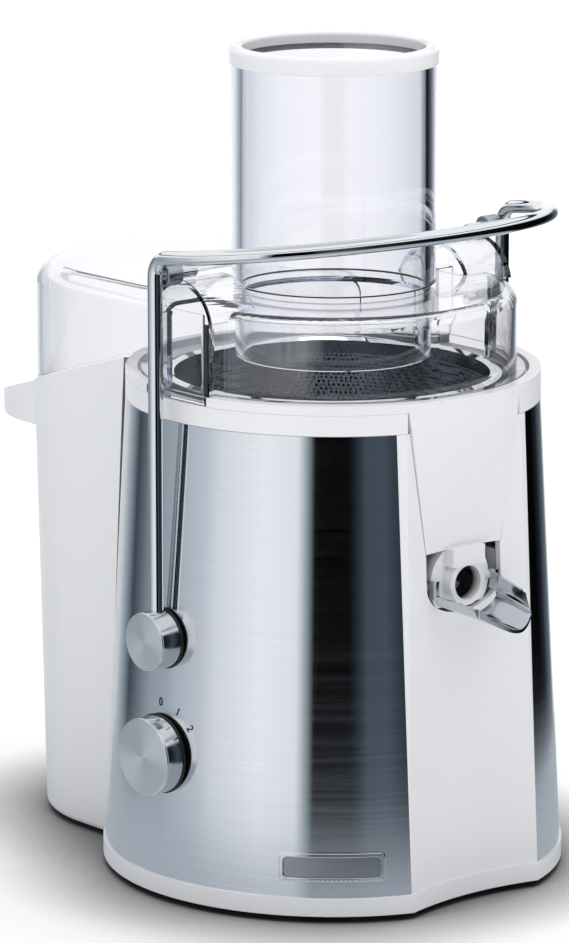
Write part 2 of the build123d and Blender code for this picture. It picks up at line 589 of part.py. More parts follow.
def spout_trough():
    """Tilting trough: cheeks round the spout ball and an open scoop with a round tip."""
    wall, gap = 1.2, 0.5
    channel = scoop(0) - scoop(wall)
    nose = 13.0
    round_off = block(TROUGH_TIP_X - nose, TROUGH_TIP_X + 5, -20, 20, 100, 170)
    round_off = round_off - Pos(TROUGH_TIP_X - nose, 0, 140) * Cylinder(nose, 80)
    channel = Pos(0, 0, 138) * Rot(TROUGH_ROLL, 0, 0) * Pos(0, 0, -138) * (channel - round_off)
    ball = Pos(SPOUT_X, 0, SPOUT_Z)
    cheeks = ball * Sphere(SPOUT_BALL_R + gap + 1.7) & block(SPOUT_X - 3.0, TROUGH_ROOT_X + 1.5, -30, 30, 137.5, SPOUT_Z + 3)
    cheeks = cheeks - block(70, 100, -14, 14, 100, 200)
    trough = (cheeks + channel) - ball * Sphere(SPOUT_BALL_R + gap)
    eyes = both_sides(rod_y(2.0, 14, 22, SPOUT_X, SPOUT_Z))
    save("spout_trough", max_solid(cut_all(trough, eyes)))


def main():
    base_tray()
    rubber_feet()
    tray_screws()
    motor_housing()
    steel_wrap()
    rim_collar()
    front_panel()
    juice_collector()
    badge()
    motor_static()
    rubber_mounts()
    electrics()
    pivot_bushes()
    rotor()
    wire = arm_wire()
    save("arm_wire", wire)
    pivot_knobs()
    latch_pins(wire)
    lid_shell()
    feed_tube()
    pulp_bin()
    dial()
    spout_trough()


main()
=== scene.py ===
"""Centrifugal juicer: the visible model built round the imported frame.

Each sub-assembly is a class that builds its own surfaces with numpy and dresses them.
Lengths are in metres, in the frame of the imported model: +Z up along the motor axis,
+X towards the spout, -Y towards the user.
"""

import logging
import math
from dataclasses import dataclass, field
from enum import Enum
from typing import Any, Dict, List, Optional, Sequence, Tuple

import bmesh
import bpy
import numpy as np
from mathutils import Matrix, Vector


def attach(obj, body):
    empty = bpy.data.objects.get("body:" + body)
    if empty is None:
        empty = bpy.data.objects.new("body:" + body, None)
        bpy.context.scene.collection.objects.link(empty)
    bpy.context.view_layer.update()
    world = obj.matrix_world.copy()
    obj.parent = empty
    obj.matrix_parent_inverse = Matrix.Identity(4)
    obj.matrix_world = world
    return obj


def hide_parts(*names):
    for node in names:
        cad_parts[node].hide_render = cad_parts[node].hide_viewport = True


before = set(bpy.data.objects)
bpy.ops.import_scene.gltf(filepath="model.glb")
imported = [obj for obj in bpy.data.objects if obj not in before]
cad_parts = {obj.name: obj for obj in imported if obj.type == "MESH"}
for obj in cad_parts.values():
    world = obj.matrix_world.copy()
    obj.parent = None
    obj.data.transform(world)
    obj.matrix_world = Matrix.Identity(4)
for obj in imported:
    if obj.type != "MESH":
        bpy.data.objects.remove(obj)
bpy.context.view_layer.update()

logging.basicConfig(level=logging.INFO, format="%(name)s: %(message)s")
LOG = logging.getLogger("juicer")

MM = 0.001
Point = Tuple[float, float]
Array = np.ndarray

# Brushed wrap, in millimetres: height and outer radius at its foot and under the rim.
WRAP_LOW_Z, WRAP_HIGH_Z = 11.3, 212.5
WRAP_LOW_R, WRAP_HIGH_R = 102.3, 92.0

DIAL_Z = 65.6  # height of the dial's axis, in millimetres

WELD = 2e-6  # metres; points nearer than this are one
EMPTY_EDGE = 1e-7  # metres; shorter edges are dropped
BEVEL_STEPS = 3
FLAT_DEG = 0.4  # facets that turn less than this are one flat face

# Sockets of the colour mix node, whose inputs and outputs share names across its data types.
MIX_A, MIX_B, MIX_RESULT = 6, 7, 2


class Axis(Enum):
    """Axis of a turned piece."""

    UP = (0.0, 0.0, 1.0)
    USER = (0.0, -1.0, 0.0)
    FAR = (0.0, 1.0, 0.0)


# ---- profiles and surfaces -------------------------------------------------------------------


def wrap_radius(height: Any) -> Any:
    """Outer radius of the wrap in millimetres: it falls evenly from the foot to the rim.

    Args:
        height: one height or an array of heights, in millimetres.

    Returns:
        The radius at each height.
    """
    share = (height - WRAP_LOW_Z) / (WRAP_HIGH_Z - WRAP_LOW_Z)
    return WRAP_LOW_R + (WRAP_HIGH_R - WRAP_LOW_R) * share


def rounded(points: Sequence[Point], radii: Sequence[float], steps: int = 6) -> Array:
    """Closed outline whose corners are replaced by tangent arcs.

    At a corner that turns by the angle a, an arc of radius r starts r*tan(a/2) before the corner
    and ends as far after it.

    Args:
        points: corners in order.
        radii: one radius for each corner; 0 keeps the corner sharp.
        steps: points on each arc, less one.

    Returns:
        Array of shape (n, 2).
    """
    corners = np.asarray(points, float)
    count = len(corners)
    rows: List[Array] = []
    for i, (corner, radius) in enumerate(zip(corners, radii)):
        if radius <= 0:
            rows.append(corner[None])
            continue
        before = corners[i - 1] - corner
        after = corners[(i + 1) % count] - corner
        before /= np.linalg.norm(before)
        after /= np.linalg.norm(after)
        half = 0.5 * math.acos(float(np.clip(before @ after, -1, 1)))
        bisector = before + after
        bisector /= np.linalg.norm(bisector)
        centre = corner + bisector * radius / math.sin(half)
        start = corner + before * radius / math.tan(half) - centre
        end = corner + after * radius / math.tan(half) - centre
        t = np.linspace(0, 1, steps + 1)[:, None]
        sweep = math.pi - 2 * half
        arc = (np.sin((1 - t) * sweep) * start + np.sin(t * sweep) * end) / math.sin(sweep)
        rows.append(centre + arc)
    return np.concatenate(rows)


def spin(profile: Array, origin: Array, axis: Axis, segments: int) -> Array:
    """Grid of a turned surface: radius times cosine and sine of the turn, height along the axis.

    Args:
        profile: (n, 2) array of radius and height.
        origin: point on the axis at height zero.
        axis: direction of the axis.
        segments: steps round the axis; the last step joins the first.

    Returns:
        Array of shape (columns, n, 3).
    """
    up = np.array(axis.value)
    side = np.array((1.0, 0.0, 0.0))
    ahead = np.cross(up, side)
    turn = np.linspace(0, 2 * math.pi, segments, endpoint=False)[:, None, None]
    radius, height = profile[None, :, 0, None], profile[None, :, 1, None]
    return origin + radius * (np.cos(turn) * side + np.sin(turn) * ahead) + height * up


def tube_grid(path: Array, radius: float, segments: int) -> Array:
    """Grid of a round bar: a circle carried along a path without twist, closed to a point at each end.

    The normal of each station is the path's fixed sideways direction with its part along the
    tangent taken off; radius times cosine goes along it and radius times sine across it.

    Args:
        path: (n, 3) centre line.
        radius: bar radius.
        segments: points round the circle.

    Returns:
        Array of shape (stations, segments, 3).
    """
    tangent = np.gradient(path, axis=0)
    tangent /= np.linalg.norm(tangent, axis=1, keepdims=True)
    normals = np.empty_like(path)
    normal = np.array((1.0, 0.0, 0.0)) if abs(tangent[0, 0]) < 0.9 else np.array((0.0, 0.0, 1.0))
    for i, t in enumerate(tangent):
        normal = normal - t * (normal @ t)
        normal /= np.linalg.norm(normal)
        normals[i] = normal
    across = np.cross(tangent, normals)
    turn = np.linspace(0, 2 * math.pi, segments, endpoint=False)[None, :, None]
    grid = path[:, None] + radius * (np.cos(turn) * normals[:, None] + np.sin(turn) * across[:, None])
    first = np.repeat(path[:1, None], segments, axis=1)
    last = np.repeat(path[-1:, None], segments, axis=1)
    return np.concatenate([first, grid, last])


def mesh_from_grid(name: str, grid: Array, close_rows: bool, sharp: float = 35.0) -> bpy.types.Object:
    """Turns one grid of points into an object with outward, smooth-shaded faces.

    The last column always joins the first.

    Args:
        name: object name.
        grid: (rows, columns, 3) points.
        close_rows: join the last row to the first.
        sharp: edges that turn by more than this many degrees stay crisp.

    Returns:
        The object, at the origin.
    """
    rows, cols = grid.shape[:2]
    a, b = np.meshgrid(np.arange(rows if close_rows else rows - 1), np.arange(cols), indexing="ij")
    a2, b2 = (a + 1) % rows, (b + 1) % cols
    faces = np.stack([a * cols + b, a2 * cols + b, a2 * cols + b2, a * cols + b2], -1).reshape(-1, 4)
    mesh = bpy.data.meshes.new(name)
    mesh.from_pydata(grid.reshape(-1, 3), [], faces.tolist())
    bm = bmesh.new()
    bm.from_mesh(mesh)
    bmesh.ops.remove_doubles(bm, verts=bm.verts, dist=WELD)
    bmesh.ops.dissolve_degenerate(bm, edges=bm.edges, dist=EMPTY_EDGE)
    bmesh.ops.recalc_face_normals(bm, faces=bm.faces)
    return shaded_object(name, mesh, bm, sharp)


def link(name: str, data: Any) -> bpy.types.Object:
    """Makes an object at the origin and links it to the scene.

    Args:
        name: object name.
        data: mesh, camera or lamp data.

    Returns:
        The object.
    """
    obj = bpy.data.objects.new(name, data)
    bpy.context.scene.collection.objects.link(obj)
    return obj


def shaded_object(name: str, mesh: bpy.types.Mesh, bm: bmesh.types.BMesh, sharp: float) -> bpy.types.Object:
    """Writes an edited mesh back, frees the editor and shades by angle.

    Args:
        name: object name.
        mesh: mesh to write to.
        bm: edited mesh; freed here.
        sharp: edges that turn by more than this many degrees stay crisp.

    Returns:
        The object, at the origin.
    """
    bm.to_mesh(mesh)
    bm.free()
    mesh.polygons.foreach_set("use_smooth", np.ones(len(mesh.polygons), bool))
    mesh.set_sharp_from_angle(angle=math.radians(sharp))
    return link(name, mesh)


def smooth_copy(node: str, name: str, sharp: float, bevel: float) -> bpy.types.Object:
    """Welded, smooth-shaded copy of a CAD node, with a small bevel on its crisp edges.

    Args:
        node: CAD node to copy.
        name: name of the new piece.
        sharp: edges above this angle in degrees stay crisp or are bevelled.
        bevel: bevel width in metres; 0 for none.

    Returns:
        The new object.
    """
    bm = bmesh.new()
    bm.from_mesh(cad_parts[node].data)
    bmesh.ops.remove_doubles(bm, verts=bm.verts, dist=WELD)
    bmesh.ops.dissolve_limit(bm, angle_limit=math.radians(FLAT_DEG), verts=bm.verts, edges=bm.edges)
    obj = shaded_object(name, bpy.data.meshes.new(name), bm, sharp)
    if bevel > 0:
        soften(obj, bevel, sharp)
    flat = obj.modifiers.new("flats", "WEIGHTED_NORMAL")
    flat.keep_sharp = True
    return obj


def soften(obj: bpy.types.Object, width: float, angle: float) -> None:
    """Adds a bevel to the crisp edges of an object.

    Args:
        obj: object to bevel.
        width: bevel width in metres.
        angle: edges that turn by more than this many degrees are bevelled.
    """
    bevel = obj.modifiers.new("edge", "BEVEL")
    bevel.width = width
    bevel.segments = BEVEL_STEPS
    bevel.limit_method = "ANGLE"
    bevel.angle_limit = math.radians(angle)
    bevel.harden_normals = True


def place(obj: bpy.types.Object, body: str, finish: "Finish",
          stands_for: Sequence[str] = ()) -> None:
    """Gives a piece its material, its body and the CAD nodes it stands for.

    Args:
        obj: the piece.
        body: body that it rides on.
        finish: its finish.
        stands_for: CAD nodes that it replaces.
    """
    obj.data.materials.clear()
    obj.data.materials.append(finish.material())
    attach(obj, body)
    if stands_for:
        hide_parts(*stands_for)
    LOG.info("%s: %d faces on %s", obj.name, len(obj.data.polygons), body)


# ---- material helpers ------------------------------------------------------------------------


def colour(code: str, share: float = 1.0) -> Tuple[float, float, float, float]:
    """Linear colour of an sRGB code.

    Args:
        code: sRGB hex code such as 'C8CACC'.
        share: factor on its linear light.

    Returns:
        Linear RGBA, opaque.
    """
    srgb = np.array([int(code[i:i + 2], 16) for i in (0, 2, 4)]) / 255
    linear = np.where(srgb <= 0.04045, srgb / 12.92, ((srgb + 0.055) / 1.055) ** 2.4)
    return (*(share * float(c) for c in linear), 1.0)


def blend(tree: bpy.types.NodeTree, factor: bpy.types.NodeSocket, dark: Any,
          light: Any) -> bpy.types.NodeSocket:
    """Mixes two colours.

    Args:
        tree: node tree.
        factor: share of the light one.
        dark: colour, or socket, at factor 0.
        light: colour at factor 1.

    Returns:
        Socket of the mixed colour.
    """
    mix = add_node(tree, "Mix", {"data_type": "RGBA"}, {"Factor": factor, MIX_A: dark, MIX_B: light})
    return mix.outputs[MIX_RESULT]


def add_node(tree: bpy.types.NodeTree, kind: str, settings: Optional[Dict[str, Any]] = None,
             inputs: Optional[Dict[Any, Any]] = None) -> bpy.types.Node:
    """Adds a node, sets its properties, and sets or links its inputs.

    Args:
        tree: node tree.
        kind: node type without the "ShaderNode" prefix.
        settings: properties by name.
        inputs: input values, or output sockets to link, by socket name or index.

    Returns:
        The node.
    """
    node = tree.nodes.new("ShaderNode" + kind)
    for key, value in (settings or {}).items():
        setattr(node, key, value)
    for key, value in (inputs or {}).items():
        if isinstance(value, bpy.types.NodeSocket):
            tree.links.new(value, node.inputs[key])
        else:
            node.inputs[key].default_value = value
    return node


@dataclass(frozen=True)
class Finish:
    """A material named for what the real one is; subclasses say how its surface is made."""

    name: str
    base: str
    roughness: float
    metallic: float = 0.0
    ior: float = 1.5

    def material(self) -> bpy.types.Material:
        """The Blender material, made once and shared."""
        found = bpy.data.materials.get(self.name)
        if found is not None:
            return found
        made = bpy.data.materials.new(self.name)
        made.use_nodes = True
        tree = made.node_tree
        shader = tree.nodes["Principled BSDF"]
        shader.inputs["Base Color"].default_value = colour(self.base)
        shader.inputs["Roughness"].default_value = self.roughness
        shader.inputs["Metallic"].default_value = self.metallic
        if self.metallic < 0.5:
            shader.inputs["IOR"].default_value = self.ior
        self.dress(tree, shader)
        return made

    def dress(self, tree: bpy.types.NodeTree, shader: bpy.types.Node) -> None:
        """Adds the pattern of the surface; the plain finish has none."""

    @staticmethod
    def noise(tree: bpy.types.NodeTree, scale: Tuple[float, float, float],
              detail: float = 3.0) -> bpy.types.Node:
        """Noise on object coordinates with a cell of one over the scale, in metres."""
        spot = add_node(tree, "TexCoord")
        mapping = add_node(tree, "Mapping", inputs={"Vector": spot.outputs["Object"], "Scale": scale})
        return add_node(tree, "TexNoise", inputs={"Vector": mapping.outputs[0], "Scale": 1.0, "Detail": detail})

    @staticmethod
    def bump(tree: bpy.types.NodeTree, shader: bpy.types.Node, height: bpy.types.NodeSocket,
             strength: float, depth: float) -> None:
        """Feeds a height into the shader's normal; depth is in metres."""
        node = add_node(tree, "Bump", inputs={"Height": height, "Strength": strength, "Distance": depth})
        tree.links.new(node.outputs[0], shader.inputs["Normal"])


@dataclass(frozen=True)
class Moulded(Finish):
    """Injection-moulded plastic: a skin copied from a spark-eroded or polished tool."""

    grain_mm: float = 0.9
    depth_mm: float = 0.012
    tint: str = ""

    def dress(self, tree: bpy.types.NodeTree, shader: bpy.types.Node) -> None:
        """Fine orange-peel bump, slow drift of gloss and a hint of colour variation."""
        fine = self.noise(tree, (1 / (self.grain_mm * MM),) * 3)
        slow = self.noise(tree, (14.0, 14.0, 14.0), 2.0)
        gloss = add_node(tree, "MapRange", inputs={
            "Value": slow.outputs[0], "From Min": 0.3, "From Max": 0.7,
            "To Min": self.roughness * 0.85, "To Max": self.roughness * 1.25})
        tree.links.new(gloss.outputs[0], shader.inputs["Roughness"])
        shade = blend(tree, slow.outputs[0], colour(self.base), colour(self.tint or self.base))
        tree.links.new(shade, shader.inputs["Base Color"])
        self.bump(tree, shader, fine.outputs[0], 0.25, self.depth_mm * MM)


@dataclass(frozen=True)
class Throated(Moulded):
    """White moulding with a deep round outlet, with painted shade: dark inside the outlet."""

    radius_mm: float = 7.7
    centre_z_mm: float = 143.0
    mouth_x_mm: float = 87.5
    fade_mm: float = 4.0

    def dress(self, tree: bpy.types.NodeTree, shader: bpy.types.Node) -> None:
        """The moulded skin, with painted shade: near black within the outlet's bore behind its mouth."""
        super().dress(tree, shader)
        skin = shader.inputs["Base Color"].links[0].from_socket
        spot = add_node(tree, "TexCoord")
        mapping = add_node(tree, "Mapping", inputs={"Vector": spot.outputs["Object"],
                                                    "Location": (0, 0, -self.centre_z_mm * MM)})
        flat = add_node(tree, "VectorMath", {"operation": "MULTIPLY"}, {0: mapping.outputs[0], 1: (0, 1, 1)})
        off = add_node(tree, "VectorMath", {"operation": "LENGTH"}, {0: flat.outputs[0]})
        parts = add_node(tree, "SeparateXYZ", inputs={0: mapping.outputs[0]})
        inside = add_node(tree, "Math", {"operation": "LESS_THAN"},
                          {0: off.outputs["Value"], 1: self.radius_mm * MM})
        deep = add_node(tree, "MapRange", inputs={
            "Value": parts.outputs[0], "From Min": (self.mouth_x_mm - self.fade_mm) * MM,
            "From Max": self.mouth_x_mm * MM, "To Min": 1.0, "To Max": 0.0})
        both = add_node(tree, "Math", {"operation": "MULTIPLY"}, {0: inside.outputs[0], 1: deep.outputs[0]})
        # painted shade: near black mixed into the bore behind the outlet's mouth
        shade = blend(tree, both.outputs[0], skin, colour("08080A"))
        tree.links.new(shade, shader.inputs["Base Color"])


@dataclass(frozen=True)
class Brushed(Finish):
    """Sheet rubbed with abrasive belt: long fine scratches along the rolling direction."""

    line_mm: float = 0.35
    run_mm: float = 60.0
    turn: float = 0.0
    scratch_share: float = 0.93

    def dress(self, tree: bpy.types.NodeTree, shader: bpy.types.Node) -> None:
        """Streaks a few tenths of a millimetre apart; real grit is finer than shows."""
        run, line = 1 / (self.run_mm * MM), 1 / (self.line_mm * MM)
        streak = self.noise(tree, (run, run, line), 4.0)
        broad = self.noise(tree, (run * 0.5, run * 0.5, line * 0.12), 2.0)
        mixed = add_node(tree, "Math", {"operation": "MULTIPLY_ADD"},
                         {0: streak.outputs[0], 1: 0.7, 2: broad.outputs[0]})
        rough = add_node(tree, "MapRange", inputs={
            "Value": mixed.outputs[0], "From Min": 0.5, "From Max": 1.2,
            "To Min": self.roughness * 0.8, "To Max": self.roughness * 1.3})
        tree.links.new(rough.outputs[0], shader.inputs["Roughness"])
        tone = add_node(tree, "MapRange", inputs={"Value": streak.outputs[0], "From Min": 0.3, "From Max": 0.7})
        shade = blend(tree, tone.outputs[0], colour(self.base, self.scratch_share), colour(self.base))
        tree.links.new(shade, shader.inputs["Base Color"])
        shader.inputs["Anisotropic"].default_value = 0.9
        spot = add_node(tree, "TexCoord")
        along = add_node(tree, "VectorMath", {"operation": "CROSS_PRODUCT"},
                         {0: (0, 0, 1), 1: spot.outputs["Object"]})
        tree.links.new(along.outputs[0], shader.inputs["Tangent"])
        shader.inputs["Anisotropic Rotation"].default_value = self.turn
        self.bump(tree, shader, mixed.outputs[0], 0.25, 0.002 * MM)


@dataclass(frozen=True)
class Spun(Finish):
    """Face turned on a lathe: concentric cuts that spread a highlight outwards."""

    centre_mm: Tuple[float, float, float] = (0.0, 0.0, 0.0)
    pitch_mm: float = 0.45
    cut_share: float = 0.88

    def dress(self, tree: bpy.types.NodeTree, shader: bpy.types.Node) -> None:
        """Rings about the centre, from the distance in the XZ plane; drawn coarser than real."""
        spot = add_node(tree, "TexCoord")
        centre = tuple(-c * MM for c in self.centre_mm)
        mapping = add_node(tree, "Mapping", inputs={"Vector": spot.outputs["Object"], "Location": centre})
        flat = add_node(tree, "VectorMath", {"operation": "MULTIPLY"}, {0: mapping.outputs[0], 1: (1, 0, 1)})
        radius = add_node(tree, "VectorMath", {"operation": "LENGTH"}, {0: flat.outputs[0]})
        cuts = add_node(tree, "TexNoise", {"noise_dimensions": "1D"},
                        {"W": radius.outputs["Value"], "Scale": 1 / (self.pitch_mm * MM), "Detail": 3.0})
        tone = add_node(tree, "MapRange", inputs={"Value": cuts.outputs[0], "From Min": 0.3, "From Max": 0.7})
        shade = blend(tree, tone.outputs[0], colour(self.base, self.cut_share), colour(self.base))
        tree.links.new(shade, shader.inputs["Base Color"])
        around = add_node(tree, "VectorMath", {"operation": "CROSS_PRODUCT"},
                          {0: (0, 1, 0), 1: flat.outputs[0]})
        tree.links.new(around.outputs[0], shader.inputs["Tangent"])
        shader.inputs["Anisotropic"].default_value = 0.85
        shader.inputs["Anisotropic Rotation"].default_value = 0.25
        self.bump(tree, shader, cuts.outputs[0], 0.25, 0.01 * MM)


@dataclass(frozen=True)
class Clear(Finish):
    """Clear moulded polycarbonate: transparent, with a faint blue tone in the thick edges."""

    density: float = 15.0
    edge_tone: str = "8F93D8"

    def dress(self, tree: bpy.types.NodeTree, shader: bpy.types.Node) -> None:
        """Full transmission with blue absorption through the wall and faint flow marks."""
        shader.inputs["Transmission Weight"].default_value = 1.0
        flow = self.noise(tree, (30.0, 30.0, 12.0), 2.0)
        self.bump(tree, shader, flow.outputs[0], 0.12, 0.05 * MM)
        absorb = add_node(tree, "VolumeAbsorption")
        absorb.inputs["Color"].default_value = colour(self.edge_tone)
        absorb.inputs["Density"].default_value = self.density
        out = tree.nodes["Material Output"]
        tree.links.new(absorb.outputs[0], out.inputs["Volume"])


@dataclass(frozen=True)
class Polished(Finish):
    """Chrome plate over a drawn or moulded part: mirror-bright with slight ripple."""

    def dress(self, tree: bpy.types.NodeTree, shader: bpy.types.Node) -> None:
        """A soft ripple a few millimetres wide and small changes of gloss."""
        ripple = self.noise(tree, (120.0, 120.0, 120.0), 2.0)
        gloss = add_node(tree, "MapRange", inputs={
            "Value": ripple.outputs[0], "To Min": self.roughness * 0.6, "To Max": self.roughness * 1.5})
        tree.links.new(gloss.outputs[0], shader.inputs["Roughness"])
        self.bump(tree, shader, ripple.outputs[0], 0.05, 0.01 * MM)


@dataclass(frozen=True)
class Pierced(Finish):
    """Etched sieve sheet: rows of small round holes, drawn as dark dots."""

    pitch_mm: float = 1.6

    def dress(self, tree: bpy.types.NodeTree, shader: bpy.types.Node) -> None:
        """Cells at the hole pitch; the middle of each cell is dark. Real holes are about 0.4 mm."""
        spot = add_node(tree, "TexCoord")
        cells = add_node(tree, "TexVoronoi", {"feature": "F1"}, {
            "Vector": spot.outputs["Object"], "Scale": 1 / (self.pitch_mm * MM), "Randomness": 0.15})
        hole = add_node(tree, "MapRange", inputs={
            "Value": cells.outputs["Distance"], "From Min": 0.3, "From Max": 0.42})
        shade = blend(tree, hole.outputs[0], colour("0A0B0C"), colour(self.base))
        tree.links.new(shade, shader.inputs["Base Color"])
        self.bump(tree, shader, hole.outputs[0], 0.4, 0.1 * MM)


class Finishes:
    """The finishes of the machine, by what they are."""

    # A clean white with a soft gloss that drifts a little.
    white_abs = Moulded("White gloss ABS", "E6E7EA", 0.22, ior=1.54, tint="E2E3E7")
    # The same white, with painted shade: a black hole where the juice leaves.
    spout_abs_painted_shade = Throated("White gloss ABS, painted shade in outlet", "E6E7EA", 0.22, ior=1.54, tint="E2E3E7")
    # A duller white, so the bin reads as a separate moulding.
    bin_abs = Moulded("White ABS, satin", "E4E5E8", 0.32, ior=1.54, tint="E0E2E5")
    # Tall soft-edged bands of light and dark, crossed by fine level streaks.
    steel = Brushed("Brushed stainless steel", "EEF0F3", 0.11, 1.0, turn=0.25, line_mm=0.24)
    # A flat grey plate that stands off the brighter wrap.
    badge_steel = Brushed("Brushed badge plate", "B9BCC0", 0.3, 1.0, line_mm=0.25)
    # Hard black and white reflections along the bar.
    chrome = Polished("Chrome plate", "E4E6E9", 0.05, 1.0)
    # A greyer, blurred shine on the small sleeves.
    satin_chrome = Polished("Satin chrome plate", "AEB4BA", 0.28, 1.0)
    # Bright barrels with slightly softened bands.
    knob_chrome = Polished("Brushed chrome knob", "D5D8DB", 0.12, 1.0)
    # A cool grey scoop that mirrors the white panel.
    trough = Polished("Satin chrome trough", "C9CED3", 0.12, 1.0)
    # Glassy walls with dark blue-grey outlines.
    clear = Clear("Clear polycarbonate", "FFFFFF", 0.0, ior=1.585)
    # The same, a shade bluer in the thicker wall.
    clear_tube = Clear("Clear polycarbonate tube", "FFFFFF", 0.0, ior=1.585, density=16.0)
    # A thin dark ring where the tube stands on the lid: a painted dark line for the clear wall seen edge on.
    joint_dark_line = Moulded("Painted dark edge-on line at tube joint", "1B1F2B", 0.3, ior=1.58)
    # Dark gaps behind the knobs and the dial.
    black = Moulded("Black moulded plastic", "131416", 0.4)
    # Dull black feet.
    rubber = Moulded("Black rubber", "17181A", 0.7, ior=1.52, grain_mm=0.6)
    # A speckled metal seen through the lid, its base darkened as painted shade inside the basket.
    sieve = Pierced("Etched sieve steel, darkened as painted shade", "5E6268", 0.2, 1.0)
    # A grey disc at the bottom of the basket.
    disc = Brushed("Stamped cutting disc", "B4B8BC", 0.22, 1.0, run_mm=20)
    # Small crisp black marks.
    ink = Moulded("Black printed ink", "1C1D20", 0.4)


def knob_face(centre_mm: Tuple[float, float, float], name: str) -> Spun:
    """Spun aluminium finish whose rings are centred on a knob."""
    return Spun(name, "F2F4F5", 0.38, 1.0, centre_mm=centre_mm)


# ---- sub-assemblies --------------------------------------------------------------------------


@dataclass
class Assembly:
    """A group of pieces that moves with one body."""

    body: str

    def build(self) -> None:
        """Makes every piece of the group."""
        raise NotImplementedError

    def add(self, obj: bpy.types.Object, finish: Finish, slot: str, *stands_for: str) -> bpy.types.Object:
        """Places a piece on this group's body and returns it."""
        place(obj, self.body, finish, stands_for)
        return obj

    def copy(self, node: str, finish: Finish, slot: str, bevel_mm: float, sharp: float = 30.0) -> None:
        """A smooth-shaded copy of one CAD node in the given finish."""
        self.add(smooth_copy(node, f"{node}_skin", sharp, bevel_mm * MM), finish, slot, node)

    def turned(self, name: str, points_mm: Sequence[Point], radii_mm: Sequence[float], finish: Finish,
               slot: str, stands_for: Sequence[str] = (), origin_mm: Sequence[float] = (0, 0, 0),
               axis: Axis = Axis.UP, segments: int = 200) -> bpy.types.Object:
        """Closed turned piece from a rounded profile.

        Args:
            name: object name.
            points_mm: corners as radius and height along the axis, in millimetres.
            radii_mm: rounding of each corner, in millimetres.
            finish: its material.
            slot: its material slot; not used.
            stands_for: CAD nodes that it replaces.
            origin_mm: point on the axis at height zero.
            axis: direction of the axis.
            segments: steps round the axis.

        Returns:
            The placed piece.
        """
        profile = rounded(points_mm, radii_mm) * MM
        grid = spin(profile, np.array(origin_mm) * MM, axis, segments)
        return self.add(mesh_from_grid(name, grid, True), finish, slot, *stands_for)


@dataclass
class SteelBody(Assembly):
    """Motor base: brushed wrap, white ring, hollow panel, collar, juice collector and badge."""

    panel_half: float = 37.3
    sheet: float = 0.8
    rows: int = 48
    columns: int = 260

    def build(self) -> None:
        """Wrap from numpy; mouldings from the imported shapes."""
        self.add(self.wrap(), Finishes.steel, "brushed_steel", "steel_wrap")
        self.copy("front_panel", Finishes.white_abs, "white_abs", 0.9)
        self.copy("rim_collar", Finishes.white_abs, "white_abs", 0.5)
        self.copy("juice_collector", Finishes.spout_abs_painted_shade, "white_abs", 0.4)
        self.copy("base_tray", Finishes.white_abs, "white_abs", 0.8)
        self.copy("rubber_feet", Finishes.rubber, "rubber", 0.0)
        self.copy("badge_frame", Finishes.chrome, "chrome", 0.35)
        self.copy("badge_plate", Finishes.badge_steel, "brushed_steel", 0.15)

    def wrap(self) -> bpy.types.Object:
        """Sheet bent to a cone: at each height the radius falls evenly from foot to rim, and the
        sheet runs from one side of the hollow panel round the back to the other. The inner skin
        is the same rows as the outer, one sheet's thickness in."""
        height = np.linspace(WRAP_LOW_Z, WRAP_HIGH_Z, self.rows)
        radius = wrap_radius(height)
        gap = np.arcsin(self.panel_half / radius)
        share = np.linspace(0, 1, self.columns)[:, None]
        turn = gap[None] + share * (2 * math.pi - 2 * gap[None])

        def skin(offset: float) -> Array:
            """The sheet's surface, moved outward by the offset."""
            r = radius[None] + offset
            z = np.broadcast_to(height[None], turn.shape)
            return np.stack([r * np.cos(turn), r * np.sin(turn), z], -1)

        loop = np.concatenate([skin(0.0), skin(-self.sheet)[:, ::-1]], axis=1) * MM
        caps = np.concatenate([self.cap(loop[:1]), loop, self.cap(loop[-1:])])
        return mesh_from_grid("steel_wrap_skin", caps, False)

    @staticmethod
    def cap(row: Array) -> Array:
        """Row folded on to its own middle line, so that the sheet's end is closed."""
        return 0.5 * (row + row[:, ::-1])


